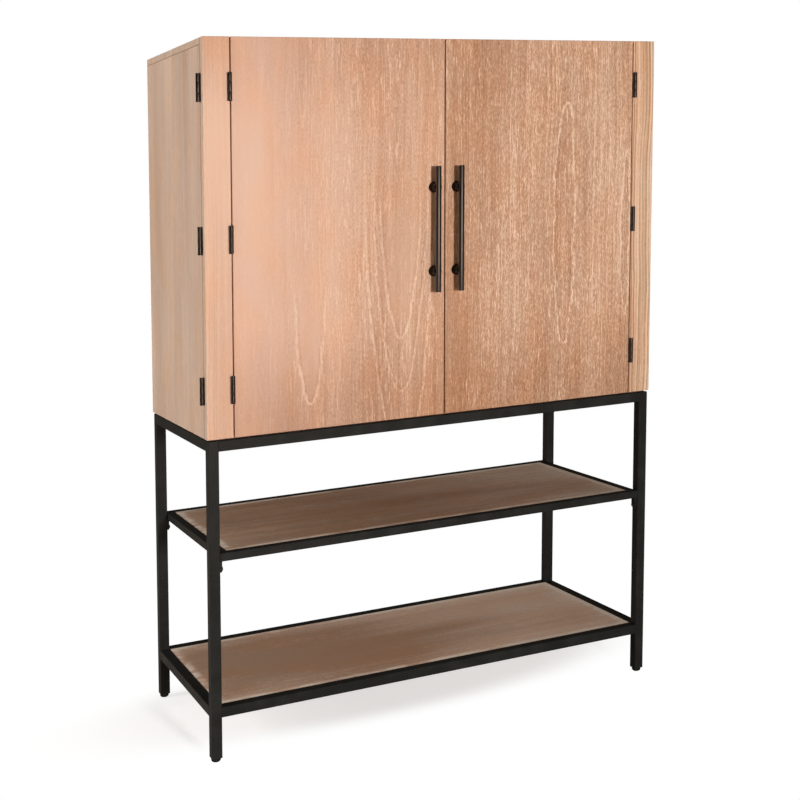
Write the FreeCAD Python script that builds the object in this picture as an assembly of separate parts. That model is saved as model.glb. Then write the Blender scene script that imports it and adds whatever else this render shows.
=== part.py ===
import FreeCAD, Part

import math
import os

from FreeCAD import Vector

# Bar cabinet: a wooden box with wrap-around doors on a steel stand with two open shelves.
# Millimetres, X along the front, the doors face -Y, Z up, origin on the floor at the middle.
# Each corner stile swings on a side panel and carries a door, so that the door can fold
# right round against the side.

# Overall sizes
OVERALL_HEIGHT = 1679.0
BOX_WIDTH = 1208.0
BOX_DEPTH = 502.0
STAND_HEIGHT = 762.5
SHADOW_GAP = 4.0

# Wooden box
DOOR_THICKNESS = 20.0
SIDE_THICKNESS = 20.0
TOP_THICKNESS = 15.0
FLOOR_THICKNESS = 18.0
BACK_THICKNESS = 8.0
BACK_REBATE = 10.0
STILE_WIDTH = 63.0
MEETING_GAP = 3.0
EASED_EDGE = 1.0

# Shelves inside the box
INNER_THICKNESS = 18.0
INNER_SETBACK = 12.0
UPPER_BAY_HEIGHT = 420.0
LOOSE_SHELF_RISE = 205.0
LOOSE_SHELF_PLAY = 1.0
SHELF_PIN_RADIUS = 2.5
SHELF_PIN_SUNK = 8.0
SHELF_PIN_PROUD = 9.0
SHELF_PIN_MARGIN = 60.0

# Stemware rails under the top, T-shaped in section
STEMWARE_COUNT = 5
STEMWARE_PITCH = 100.0
STEMWARE_DROP = 32.0
STEMWARE_WEB = 12.0
STEMWARE_FLANGE = 38.0
STEMWARE_FLANGE_THICKNESS = 9.0
STEMWARE_MARGIN = 40.0

# Butt hinges: two leaves rolled round a pin
HINGE_GAP = 3.0
HINGE_HEIGHT = 64.0
HINGE_MARGIN = 112.0
BARREL_RADIUS = 5.25
BARREL_CLEARANCE = 0.3
PIN_RADIUS = 2.0
PIN_PLAY = 0.05
LEAF_WIDTH = 17.0
LEAF_THICKNESS = 1.6
LEAF_SUNK = 0.4
LEAF_INSET = 0.4
END_KNUCKLE = 20.0
KNUCKLE_PLAY = 0.3

# Bar handles on turned posts
HANDLE_LENGTH = 304.0
HANDLE_CENTRES = 203.0
HANDLE_OFFSET = 28.0
HANDLE_EDGE_DISTANCE = 29.5
BAR_RADIUS = 7.0
BAR_CHAMFER = 0.8
POST_LENGTH = 27.0
POST_FOOT_RADIUS = 13.3
POST_FOOT_RIM = 3.5
POST_NECK_RADIUS = 10.0
POST_NECK_HEIGHT = 17.0
HANDLE_SCREW_RADIUS = 2.0
HANDLE_SCREW_PLAY = 0.3
HANDLE_SCREW_BITE = 12.0
HANDLE_SCREW_HEAD_RADIUS = 4.5
HANDLE_SCREW_HEAD_HEIGHT = 2.6

# Magnetic catches under the top
CATCH_LENGTH = 46.0
CATCH_DEPTH = 16.0
CATCH_HEIGHT = 14.0
CATCH_EDGE_DISTANCE = 20.0
CATCH_GAP = 0.5
STRIKE_THICKNESS = 1.5
STRIKE_MARGIN = 2.0

# Steel stand of square tube
STAND_INSET_SIDE = 3.0
STAND_INSET_FRONT = 2.0
LEG_SIZE = 25.0
RAIL_SIZE = 25.0
MIDDLE_RAIL_SIZE = 20.0
TUBE_WALL = 1.5
TUBE_CORNER = 1.2
MIDDLE_SHELF_HEIGHT = 499.0
BOTTOM_SHELF_HEIGHT = 132.0
MIDDLE_FRAME_PLAY = 0.5
BOARD_THICKNESS = 16.0
BOARD_DROP = 1.0
BOARD_PLAY = 1.0
LEDGE_WIDTH = 14.0
LEDGE_THICKNESS = 3.0

# Lugs that carry the middle shelf, with their screws
LUG_HEIGHT = 28.0
LUG_WIDTH = 16.0
LUG_THICKNESS = 6.0
LUG_CORNER = 5.0
LUG_SCREW_RADIUS = 2.5
LUG_SCREW_BITE = 6.0
LUG_SCREW_HEAD_RADIUS = 5.0
LUG_SCREW_HEAD_HEIGHT = 3.0

# Corner plates and bolts that hold the box on the stand
PLATE_SIZE = 70.0
PLATE_THICKNESS = 4.0
BOLT_RADIUS = 3.0
BOLT_PLAY = 0.3
BOLT_BITE = 12.0
BOLT_HEAD_RADIUS = 6.0
BOLT_HEAD_HEIGHT = 3.6

# Round glides pressed into the ends of the legs
FOOT_RADIUS = 11.5
FOOT_SOLE_RADIUS = 6.5
FOOT_HEIGHT = 10.0
FOOT_BEVEL_HEIGHT = 6.0
PLUG_LENGTH = 22.0

# Sides of the prisms that stand for small round bars, holes and six-sided heads
SMALL_SIDES = 10
HEX_SIDES = 6
CORNER_RATIO = 1 / math.cos(math.pi / SMALL_SIDES)

# Planes that the pieces share
HANDLE_REACH = HANDLE_OFFSET + BAR_RADIUS
DOOR_FACE = (HANDLE_REACH - BOX_DEPTH) / 2
DOOR_BACK = DOOR_FACE + DOOR_THICKNESS
CARCASS_FRONT = DOOR_BACK + HINGE_GAP
BOX_BACK = DOOR_FACE + BOX_DEPTH
PANEL_BACK = BOX_BACK - BACK_THICKNESS
BOX_SIDE = BOX_WIDTH / 2
SIDE_INNER = BOX_SIDE - SIDE_THICKNESS
STILE_EDGE = BOX_SIDE - STILE_WIDTH
DOOR_EDGE = STILE_EDGE - HINGE_GAP
BOX_BOTTOM = STAND_HEIGHT + SHADOW_GAP
BOX_MIDDLE = (BOX_BOTTOM + OVERALL_HEIGHT) / 2
TOP_UNDERSIDE = OVERALL_HEIGHT - TOP_THICKNESS
FLOOR_TOP = STAND_HEIGHT + FLOOR_THICKNESS
FIXED_SHELF_TOP = TOP_UNDERSIDE - UPPER_BAY_HEIGHT
FIXED_SHELF_UNDERSIDE = FIXED_SHELF_TOP - INNER_THICKNESS
INNER_FRONT = CARCASS_FRONT + INNER_SETBACK
LEG_OUTER = BOX_SIDE - STAND_INSET_SIDE
LEG_INNER = LEG_OUTER - LEG_SIZE
FRONT_LEG = DOOR_FACE + STAND_INSET_FRONT
BACK_LEG = BOX_BACK - LEG_SIZE
MIDDLE_FRAME_SIDE = LEG_INNER - MIDDLE_FRAME_PLAY
MIDDLE_RAIL_UNDERSIDE = MIDDLE_SHELF_HEIGHT - MIDDLE_RAIL_SIZE
HANDLE_X = -(MEETING_GAP / 2 + HANDLE_EDGE_DISTANCE)
HANDLE_Y = DOOR_FACE - HANDLE_OFFSET

# Hinge axes, and the hinge's own sections measured from its axis
BARREL_STANDOFF = BARREL_RADIUS + BARREL_CLEARANCE
LEAF_FAR = BARREL_RADIUS - LEAF_INSET
LEAF_SPREAD = HINGE_GAP + 2 * LEAF_SUNK
SIDE_AXIS = Vector(-(BOX_SIDE + BARREL_STANDOFF), CARCASS_FRONT + LEAF_SUNK - LEAF_FAR, 0)
FRONT_AXIS = Vector(-(DOOR_EDGE - LEAF_SUNK + LEAF_FAR), DOOR_FACE - BARREL_STANDOFF, 0)
HINGE_HEIGHTS = [BOX_BOTTOM + HINGE_MARGIN, BOX_MIDDLE, OVERALL_HEIGHT - HINGE_MARGIN]

X_AXIS = Vector(1, 0, 0)
Y_AXIS = Vector(0, 1, 0)
Z_AXIS = Vector(0, 0, 1)

pieces = {}


def block(x, y, z):
    """A box between the low and high limits given for each axis."""
    return Part.makeBox(x[1] - x[0], y[1] - y[0], z[1] - z[0], Vector(x[0], y[0], z[0]))


def eased(shape):
    """A board with its sharp edges taken off."""
    return shape.makeChamfer(EASED_EDGE, shape.Edges)


def mirrored(shape):
    """The right-hand copy of a left-hand piece."""
    return shape.mirror(Vector(0, 0, 0), X_AXIS)


def add(name, *solids):
    """Keeps a named piece, or a set of like pieces under one name."""
    pieces[name] = solids


def add_pair(name, *solids):
    """Keeps a left-hand piece and its mirror image."""
    add(f"{name}_left", *solids)
    add(f"{name}_right", *[mirrored(solid) for solid in solids])


def tube(x, y, z, along):
    """A square tube with bevelled corners, open at both ends of the axis that it runs along."""
    outer = block(x, y, z)
    corners = [edge for edge in outer.Edges if abs(edge.tangentAt(edge.FirstParameter).dot(along)) > 0.9]
    limits = []
    for span, direction in zip((x, y, z), (X_AXIS, Y_AXIS, Z_AXIS)):
        wall = 0 if direction == along else TUBE_WALL
        limits.append((span[0] + wall, span[1] - wall))
    return outer.makeChamfer(TUBE_CORNER, corners).cut(block(*limits))


def turned(*points):
    """A solid of revolution about Z through (radius, height) points, closed along the axis."""
    corners = [Vector(radius, 0, height) for radius, height in points]
    return Part.Face(Part.makePolygon([*corners, corners[0]])).revolve(Vector(0, 0, 0), Z_AXIS, 360)


def placed(shape, point, direction):
    """Moves a piece made about Z to a point, with its axis along a direction."""
    shape.Placement = FreeCAD.Placement(point, FreeCAD.Rotation(Z_AXIS, direction))
    return shape


def rod(radius, length, base, direction, sides=SMALL_SIDES):
    """A small round bar, or the hole that takes it, as a prism with its corners on the radius."""
    angles = [2 * math.pi * step / sides for step in range(sides)]
    corners = [Vector(radius * math.cos(angle), radius * math.sin(angle), 0) for angle in angles]
    prism = Part.Face(Part.makePolygon([*corners, corners[0]])).extrude(Z_AXIS * length)
    return placed(prism, base, direction)


def screw(seat, outward, shank_radius, shank_length, head_radius, head_height, head_sides):
    """A screw whose head bears on its seat and faces outward."""
    shank = rod(shank_radius, shank_length, seat - outward * shank_length, outward)
    return shank.fuse(rod(head_radius, head_height, seat, outward, head_sides))


def make_carcass():
    """Side, top, bottom and back panels of the box, before its fittings are let in."""
    side = eased(block((-BOX_SIDE, -SIDE_INNER), (CARCASS_FRONT, BOX_BACK), (BOX_BOTTOM, TOP_UNDERSIDE)))
    rebate_x = (-SIDE_INNER - BACK_REBATE, -SIDE_INNER)
    side = side.cut(block(rebate_x, (PANEL_BACK, BOX_BACK), (BOX_BOTTOM, TOP_UNDERSIDE)))
    for height in HINGE_HEIGHTS:
        side = side.cut(leaf_pocket_in_side(height))
    for seat, inward in shelf_pin_seats():
        side = side.cut(rod(SHELF_PIN_RADIUS, SHELF_PIN_SUNK, seat, inward))
    add_pair("side_panel", side)

    top = block((-BOX_SIDE, BOX_SIDE), (CARCASS_FRONT, BOX_BACK), (TOP_UNDERSIDE, OVERALL_HEIGHT))
    add("top_panel", eased(top))
    floor = block((-SIDE_INNER, SIDE_INNER), (CARCASS_FRONT, PANEL_BACK), (STAND_HEIGHT, FLOOR_TOP))
    for seat in bolt_seats():
        floor = floor.cut(rod(BOLT_RADIUS, PLATE_THICKNESS + BOLT_BITE, seat, Z_AXIS))
    add("bottom_panel", floor)
    back_half = SIDE_INNER + BACK_REBATE
    add("back_panel", block((-back_half, back_half), (PANEL_BACK, BOX_BACK), (BOX_BOTTOM, TOP_UNDERSIDE)))


def shelf_pin_seats():
    """Mouths of the left bay's shelf-pin holes, with the way that each hole runs in."""
    height = FLOOR_TOP + LOOSE_SHELF_RISE - SHELF_PIN_RADIUS
    rows = (INNER_FRONT + SHELF_PIN_MARGIN, PANEL_BACK - SHELF_PIN_MARGIN)
    in_side = [(Vector(-SIDE_INNER, y, height), -X_AXIS) for y in rows]
    in_divider = [(Vector(-INNER_THICKNESS / 2, y, height), X_AXIS) for y in rows]
    return in_side + in_divider


def make_inside():
    """Fixed shelf, divider, two loose shelves on pins and the stemware rails."""
    depth = (INNER_FRONT, PANEL_BACK)
    add("fixed_shelf", block((-SIDE_INNER, SIDE_INNER), depth, (FIXED_SHELF_UNDERSIDE, FIXED_SHELF_TOP)))

    divider_half = INNER_THICKNESS / 2
    divider = block((-divider_half, divider_half), depth, (FLOOR_TOP, FIXED_SHELF_UNDERSIDE))
    pins = []
    for seat, inward in shelf_pin_seats():
        hole = rod(SHELF_PIN_RADIUS, SHELF_PIN_SUNK, seat, inward)
        divider = divider.cut(hole).cut(mirrored(hole))
        inner_end = seat + inward * SHELF_PIN_SUNK
        pin = rod(SHELF_PIN_RADIUS, SHELF_PIN_SUNK + SHELF_PIN_PROUD, inner_end, -inward)
        pins += [pin, mirrored(pin)]
    add("centre_divider", divider)
    add("shelf_pins", *pins)

    shelf_bottom = FLOOR_TOP + LOOSE_SHELF_RISE
    shelf_x = (-SIDE_INNER + LOOSE_SHELF_PLAY, -divider_half - LOOSE_SHELF_PLAY)
    shelf_y = (INNER_FRONT, PANEL_BACK - LOOSE_SHELF_PLAY)
    add_pair("loose_shelf", block(shelf_x, shelf_y, (shelf_bottom, shelf_bottom + INNER_THICKNESS)))

    rails = []
    for index in range(STEMWARE_COUNT):
        middle = -SIDE_INNER / 2 + (index - (STEMWARE_COUNT - 1) / 2) * STEMWARE_PITCH
        rails.append(stemware_rail(middle))
    add("stemware_rails", *rails)


def stemware_rail(middle):
    """One T-shaped rail that hangs under the top; glass feet slide in on its flanges."""
    web = STEMWARE_WEB / 2
    flange = STEMWARE_FLANGE / 2
    bottom = TOP_UNDERSIDE - STEMWARE_DROP
    flange_top = bottom + STEMWARE_FLANGE_THICKNESS
    outline = [
        (-web, TOP_UNDERSIDE), (-web, flange_top), (-flange, flange_top), (-flange, bottom),
        (flange, bottom), (flange, flange_top), (web, flange_top), (web, TOP_UNDERSIDE),
    ]
    front = INNER_FRONT + STEMWARE_MARGIN
    back = PANEL_BACK - STEMWARE_MARGIN
    corners = [Vector(middle + x, front, z) for x, z in outline]
    section = Part.Face(Part.makePolygon([*corners, corners[0]]))
    return section.extrude(Y_AXIS * (back - front))


def leaf_pocket_in_side(height):
    """The shallow seat of a hinge leaf in the front edge of the left side panel."""
    z = (height - HINGE_HEIGHT / 2, height + HINGE_HEIGHT / 2)
    return block((-BOX_SIDE, -BOX_SIDE + LEAF_WIDTH), (CARCASS_FRONT, CARCASS_FRONT + LEAF_SUNK), z)


def make_doors():
    """Corner stiles and doors, with the seats of their hinge leaves and the handle's holes."""
    tall = (BOX_BOTTOM, OVERALL_HEIGHT)
    stile = eased(block((-BOX_SIDE, -STILE_EDGE), (DOOR_FACE, DOOR_BACK), tall))
    door = eased(block((-DOOR_EDGE, -MEETING_GAP / 2), (DOOR_FACE, DOOR_BACK), tall))
    leaf_y = (DOOR_FACE, DOOR_FACE + LEAF_WIDTH)
    for height in HINGE_HEIGHTS:
        z = (height - HINGE_HEIGHT / 2, height + HINGE_HEIGHT / 2)
        stile = stile.cut(block((-BOX_SIDE, -BOX_SIDE + LEAF_WIDTH), (DOOR_BACK - LEAF_SUNK, DOOR_BACK), z))
        stile = stile.cut(block((-STILE_EDGE - LEAF_SUNK, -STILE_EDGE), leaf_y, z))
        door = door.cut(block((-DOOR_EDGE, -DOOR_EDGE + LEAF_SUNK), leaf_y, z))
    for seat in post_seats():
        door = door.cut(rod(HANDLE_SCREW_RADIUS + HANDLE_SCREW_PLAY, DOOR_THICKNESS, seat, Y_AXIS))
    add_pair("corner_stile", stile)
    add_pair("door", door)


def hinge_leaf(near, reach, knuckles, bore):
    """A hinge leaf about the Z axis: a plate that lies along +Y and the knuckles rolled from it.

    near is the plate's inner face in X, reach is how far in towards the axis its tabs run,
    knuckles are the (low, high) stretches of barrel that belong to this leaf, and bore is the
    radius to the corners of the pin's hole.
    """
    plate_x = (near, near + LEAF_THICKNESS)
    half = HINGE_HEIGHT / 2
    leaf = block(plate_x, (BARREL_STANDOFF, BARREL_STANDOFF + LEAF_WIDTH), (-half, half))
    for low, high in knuckles:
        barrel = rod(BARREL_RADIUS, high - low, Vector(0, 0, low), Z_AXIS)
        leaf = leaf.fuse(block(plate_x, (reach, BARREL_STANDOFF), (low, high))).fuse(barrel)
    hole = rod(bore, HINGE_HEIGHT, Vector(0, 0, -half), Z_AXIS)
    return leaf.cut(hole).removeSplitter()


def make_hinges():
    """Three hinges between each side panel and stile, and three between each stile and door."""
    half = HINGE_HEIGHT / 2
    ends = [(-half, -half + END_KNUCKLE), (half - END_KNUCKLE, half)]
    middle = [(-half + END_KNUCKLE + KNUCKLE_PLAY, half - END_KNUCKLE - KNUCKLE_PLAY)]
    outer_near = LEAF_FAR - LEAF_THICKNESS
    inner_near = LEAF_FAR - LEAF_SPREAD
    outer_leaf = hinge_leaf(outer_near, 0, ends, PIN_RADIUS)
    inner_reach = (BARREL_RADIUS + PIN_RADIUS + PIN_PLAY) / 2
    loose_bore = (PIN_RADIUS + PIN_PLAY) * CORNER_RATIO
    inner_leaf = hinge_leaf(inner_near, inner_reach, middle, loose_bore)
    pin = rod(PIN_RADIUS, HINGE_HEIGHT, Vector(0, 0, -half), Z_AXIS)

    def at_front(shape):
        """Three copies on the front axis, with the plates between stile and door."""
        return [shape.translated(FRONT_AXIS + Z_AXIS * height) for height in HINGE_HEIGHTS]

    def at_side(shape):
        """Three copies on the side axis, with the plates between stile and side panel."""
        swapped = shape.mirror(Vector(0, 0, 0), X_AXIS - Y_AXIS)
        return [swapped.translated(SIDE_AXIS + Z_AXIS * height) for height in HINGE_HEIGHTS]

    carcass_leaves = at_side(outer_leaf)
    carcass_pins = at_side(pin)
    add("side_hinge_leaves", *carcass_leaves, *[mirrored(leaf) for leaf in carcass_leaves])
    add("side_hinge_pins", *carcass_pins, *[mirrored(leaf) for leaf in carcass_pins])
    add_pair("stile_hinge_leaves", *at_side(inner_leaf), *at_front(inner_leaf))
    add_pair("door_hinge_leaves", *at_front(outer_leaf))
    add_pair("door_hinge_pins", *at_front(pin))


def post_seats():
    """Centres of the left handle's posts on the door's face."""
    return [Vector(HANDLE_X, DOOR_FACE, BOX_MIDDLE + side * HANDLE_CENTRES / 2) for side in (-1, 1)]


def make_handles():
    """A round bar in the saddles of two turned posts on each door, screwed on from inside."""
    half = HANDLE_LENGTH / 2
    bar = Part.makeCylinder(BAR_RADIUS, HANDLE_LENGTH, Vector(HANDLE_X, HANDLE_Y, BOX_MIDDLE - half))
    rims = [edge for edge in bar.Edges if edge.Closed]
    bar = bar.makeChamfer(BAR_CHAMFER, rims)
    posts = []
    screws = []
    for seat in post_seats():
        post = turned((0, 0), (POST_FOOT_RADIUS, 0), (POST_FOOT_RADIUS, POST_FOOT_RIM),
                      (POST_NECK_RADIUS, POST_NECK_HEIGHT), (POST_NECK_RADIUS, POST_LENGTH), (0, POST_LENGTH))
        post = placed(post, seat, -Y_AXIS).cut(bar)
        posts.append(post.cut(rod(HANDLE_SCREW_RADIUS, HANDLE_SCREW_BITE, seat, -Y_AXIS)))
        screws.append(screw(seat + Y_AXIS * DOOR_THICKNESS, Y_AXIS, HANDLE_SCREW_RADIUS,
                            DOOR_THICKNESS + HANDLE_SCREW_BITE, HANDLE_SCREW_HEAD_RADIUS,
                            HANDLE_SCREW_HEAD_HEIGHT, SMALL_SIDES))
    add_pair("handle_bar", bar)
    add_pair("handle_posts", *posts)
    add_pair("handle_screws", *screws)


def make_catches():
    """Magnets under the top and the steel plates on the doors that they hold."""
    near = -(MEETING_GAP / 2 + CATCH_EDGE_DISTANCE)
    strike_back = DOOR_BACK + STRIKE_THICKNESS
    catch_front = strike_back + CATCH_GAP
    catch_z = (TOP_UNDERSIDE - CATCH_HEIGHT, TOP_UNDERSIDE)
    catch = block((near - CATCH_LENGTH, near), (catch_front, catch_front + CATCH_DEPTH), catch_z)
    add("magnetic_catches", catch, mirrored(catch))
    strike_x = (near - CATCH_LENGTH + STRIKE_MARGIN, near - STRIKE_MARGIN)
    strike_z = (catch_z[0] + STRIKE_MARGIN, catch_z[1] - STRIKE_MARGIN)
    add_pair("door_strike", block(strike_x, (DOOR_BACK, strike_back), strike_z))


def ledge(x, y, shelf_height):
    """A flat strip inside a rail that a shelf board lies on."""
    top = shelf_height - BOARD_DROP - BOARD_THICKNESS
    return block(x, y, (top - LEDGE_THICKNESS, top))


def make_legs():
    """Four tube legs, with the lugs and screws that carry the middle shelf."""
    lugs = []
    screws = []
    for name, front in (("leg_front", FRONT_LEG), ("leg_back", BACK_LEG)):
        span_y = (front, front + LEG_SIZE)
        leg = tube((-LEG_OUTER, -LEG_INNER), span_y, (FOOT_HEIGHT, STAND_HEIGHT), Z_AXIS)
        lug_axis = Vector(-LEG_INNER + LUG_THICKNESS, front + LEG_SIZE / 2,
                          MIDDLE_RAIL_UNDERSIDE - LUG_HEIGHT + LUG_WIDTH / 2)
        length = LUG_THICKNESS + TUBE_WALL + LUG_SCREW_BITE
        hole = rod(LUG_SCREW_RADIUS, length, lug_axis, -X_AXIS)
        lug = shelf_lug(lug_axis).cut(hole)
        lug_screw = screw(lug_axis, X_AXIS, LUG_SCREW_RADIUS, length,
                          LUG_SCREW_HEAD_RADIUS, LUG_SCREW_HEAD_HEIGHT, HEX_SIDES)
        add_pair(name, leg.cut(hole))
        lugs += [lug, mirrored(lug)]
        screws += [lug_screw, mirrored(lug_screw)]
    add("shelf_lugs", *lugs)
    add("lug_screws", *screws)


def shelf_lug(axis):
    """A lug with its lower corners taken off and a flat top under the middle frame."""
    half = LUG_WIDTH / 2
    height = (axis.z - half, MIDDLE_RAIL_UNDERSIDE)
    lug = block((axis.x - LUG_THICKNESS, axis.x), (axis.y - half, axis.y + half), height)
    ends = [edge for edge in lug.Edges if edge.BoundBox.ZMax < axis.z and edge.BoundBox.YLength < half]
    return lug.makeChamfer(LUG_CORNER, ends)


def make_rails():
    """Rails between the legs at three levels, with ledges where a shelf board lies."""
    front_y = (FRONT_LEG, FRONT_LEG + RAIL_SIZE)
    back_y = (BOX_BACK - RAIL_SIZE, BOX_BACK)
    between_legs = (FRONT_LEG + LEG_SIZE, BACK_LEG)
    across = (-LEG_INNER, LEG_INNER)
    side_x = (-LEG_OUTER, -LEG_OUTER + RAIL_SIZE)
    for name, top in (("top_rail", STAND_HEIGHT), ("bottom_rail", BOTTOM_SHELF_HEIGHT)):
        height = (top - RAIL_SIZE, top)
        front = tube(across, front_y, height, X_AXIS)
        back = tube(across, back_y, height, X_AXIS)
        side = tube(side_x, between_legs, height, Y_AXIS)
        if name == "bottom_rail":
            front = front.fuse(ledge(across, (front_y[1], front_y[1] + LEDGE_WIDTH), top))
            back = back.fuse(ledge(across, (back_y[0] - LEDGE_WIDTH, back_y[0]), top))
            ledge_y = (between_legs[0] + LEDGE_WIDTH, between_legs[1] - LEDGE_WIDTH)
            side = side.fuse(ledge((side_x[1], side_x[1] + LEDGE_WIDTH), ledge_y, top))
        add(f"{name}_front", front)
        add(f"{name}_back", back)
        add_pair(name, side)

    height = (MIDDLE_RAIL_UNDERSIDE, MIDDLE_SHELF_HEIGHT)
    front_y = (FRONT_LEG, FRONT_LEG + MIDDLE_RAIL_SIZE)
    back_y = (BOX_BACK - MIDDLE_RAIL_SIZE, BOX_BACK)
    across = (-MIDDLE_FRAME_SIDE, MIDDLE_FRAME_SIDE)
    side_x = (-MIDDLE_FRAME_SIDE, -MIDDLE_FRAME_SIDE + MIDDLE_RAIL_SIZE)
    ledge_x = (side_x[1], -side_x[1])
    ledge_y = (front_y[1] + LEDGE_WIDTH, back_y[0] - LEDGE_WIDTH)
    front_ledge = ledge(ledge_x, (front_y[1], front_y[1] + LEDGE_WIDTH), MIDDLE_SHELF_HEIGHT)
    back_ledge = ledge(ledge_x, (back_y[0] - LEDGE_WIDTH, back_y[0]), MIDDLE_SHELF_HEIGHT)
    side_ledge = ledge((side_x[1], side_x[1] + LEDGE_WIDTH), ledge_y, MIDDLE_SHELF_HEIGHT)
    add("middle_rail_front", tube(across, front_y, height, X_AXIS).fuse(front_ledge))
    add("middle_rail_back", tube(across, back_y, height, X_AXIS).fuse(back_ledge))
    add_pair("middle_rail", tube(side_x, (front_y[1], back_y[0]), height, Y_AXIS).fuse(side_ledge))


def make_boards():
    """The two open shelves, let in between their rails."""
    middle_setback = MIDDLE_RAIL_SIZE + BOARD_PLAY
    middle_half = MIDDLE_FRAME_SIDE - middle_setback
    middle_y = (FRONT_LEG + middle_setback, BOX_BACK - middle_setback)
    bottom_half = LEG_INNER - BOARD_PLAY
    bottom_y = (FRONT_LEG + LEG_SIZE + BOARD_PLAY, BACK_LEG - BOARD_PLAY)
    for name, half, depth, rail_top in (
        ("middle_shelf_board", middle_half, middle_y, MIDDLE_SHELF_HEIGHT),
        ("bottom_shelf_board", bottom_half, bottom_y, BOTTOM_SHELF_HEIGHT),
    ):
        top = rail_top - BOARD_DROP
        add(name, eased(block((-half, half), depth, (top - BOARD_THICKNESS, top))))


def bolt_seats():
    """Where the four box bolts meet the undersides of their corner plates."""
    reach = PLATE_SIZE / 2
    side = LEG_OUTER - RAIL_SIZE - reach
    rows = (FRONT_LEG + RAIL_SIZE + reach, BOX_BACK - RAIL_SIZE - reach)
    height = STAND_HEIGHT - PLATE_THICKNESS
    return [Vector(x, y, height) for x in (-side, side) for y in rows]


def make_box_fixings():
    """Plates in the corners of the stand's top, and the bolts that hold the box down on them."""
    plates = []
    bolts = []
    reach = PLATE_SIZE / 2
    legs = [pieces[f"leg_{row}_{side}"][0] for row in ("front", "back") for side in ("left", "right")]
    for seat in bolt_seats():
        plate_x = (seat.x - reach, seat.x + reach)
        plate_y = (seat.y - reach, seat.y + reach)
        plate = block(plate_x, plate_y, (seat.z, STAND_HEIGHT))
        plate = plate.cut(rod(BOLT_RADIUS + BOLT_PLAY, PLATE_THICKNESS, seat, Z_AXIS))
        for leg in legs:
            plate = plate.cut(leg)
        plates.append(max(plate.Solids, key=lambda solid: solid.Volume))
        bolts.append(screw(seat, -Z_AXIS, BOLT_RADIUS, PLATE_THICKNESS + BOLT_BITE,
                           BOLT_HEAD_RADIUS, BOLT_HEAD_HEIGHT, HEX_SIDES))
    add("corner_plates", *plates)
    add("box_bolts", *bolts)


def make_feet():
    """Turned glides with a flat sole, each on a square plug inside its leg."""
    round_part = turned((0, 0), (FOOT_SOLE_RADIUS, 0), (FOOT_RADIUS, FOOT_BEVEL_HEIGHT),
                        (FOOT_RADIUS, FOOT_HEIGHT), (0, FOOT_HEIGHT))
    half = LEG_SIZE / 2 - TUBE_WALL
    plug = block((-half, half), (-half, half), (FOOT_HEIGHT, FOOT_HEIGHT + PLUG_LENGTH))
    glide = round_part.fuse(plug)
    for name, front in (("foot_front", FRONT_LEG), ("foot_back", BACK_LEG)):
        middle = Vector(-LEG_INNER - LEG_SIZE / 2, front + LEG_SIZE / 2, 0)
        add_pair(name, glide.translated(middle))


def export():
    """Writes each piece to its own file."""
    os.makedirs("parts", exist_ok=True)
    for name, solids in pieces.items():
        shape = solids[0] if len(solids) == 1 else Part.makeCompound(list(solids))
        shape.exportStep(f"parts/{name}.step")


make_carcass()
make_inside()
make_doors()
make_hinges()
make_handles()
make_catches()
make_legs()
make_rails()
make_boards()
make_box_fixings()
make_feet()
export()
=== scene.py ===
import logging
import math
from dataclasses import dataclass, replace
from enum import Enum
from functools import partial

import bpy
import numpy as np
from mathutils import Matrix, Vector
from numpy.typing import NDArray


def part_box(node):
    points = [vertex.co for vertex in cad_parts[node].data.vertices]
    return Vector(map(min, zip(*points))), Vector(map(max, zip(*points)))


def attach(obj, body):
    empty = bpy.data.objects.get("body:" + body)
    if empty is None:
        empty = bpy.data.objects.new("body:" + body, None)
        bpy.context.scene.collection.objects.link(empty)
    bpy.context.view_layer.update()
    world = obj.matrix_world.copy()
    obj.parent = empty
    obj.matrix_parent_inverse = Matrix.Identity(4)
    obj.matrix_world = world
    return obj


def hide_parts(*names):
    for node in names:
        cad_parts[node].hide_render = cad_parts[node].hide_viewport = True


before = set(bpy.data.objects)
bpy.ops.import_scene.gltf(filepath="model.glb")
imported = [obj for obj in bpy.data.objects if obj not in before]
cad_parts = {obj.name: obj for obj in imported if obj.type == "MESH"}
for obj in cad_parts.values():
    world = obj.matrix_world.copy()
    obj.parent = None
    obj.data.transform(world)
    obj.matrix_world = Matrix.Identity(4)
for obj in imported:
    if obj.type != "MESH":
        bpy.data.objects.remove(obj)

# Looks of the bar cabinet: limed oak boards, black steel and black hardware, on a white floor.
# Metres in the object's own frame; sizes of small hardware are written in millimetres and scaled.

LOG = logging.getLogger("bar_cabinet")
MM = 0.001
SIDES = ("left", "right")
WHITE = (1.0, 1.0, 1.0, 1.0)

# The middle of a noise's range, and the lightness at which wood has its ground's own colour
MIDDLE = 0.5
# The part of a noise's range over which a finish goes from its smoothest to its roughest
ROUGH_SPAN = (0.3, 0.7)
# How a seed moves a noise along each axis
SEED_SHIFT = (1.0, 0.7, 1.3)
# The colours' places among the sockets of a mixing node
MIX_COLOURS = (6, 7)
MIX_RESULT = 2

# Faces that meet at more than this many degrees keep a sharp edge
SHARP_ANGLE = 38
# A face looks to one side if more than this share of its normal points there
SIDEWAYS = 0.7
# Points on a curve: a small rounded edge, a plate's corner, a glide's foot and a post's sweep
EDGE_POINTS = 4
CORNER_POINTS = 5
FOOT_POINTS = 6
SWEEP_POINTS = 7
# Points round a turned piece
BAR_STEPS = 48
POST_STEPS = 40
KNUCKLE_STEPS = 32
PIN_STEPS = 24

Points = NDArray[np.float64]
Colour = tuple[int, int, int]
Span = tuple[float, float]
Triple = tuple[float, float, float]
Rgba = tuple[float, float, float, float]
Material = bpy.types.Material
Socket = bpy.types.NodeSocket
Value = Socket | float


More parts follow.
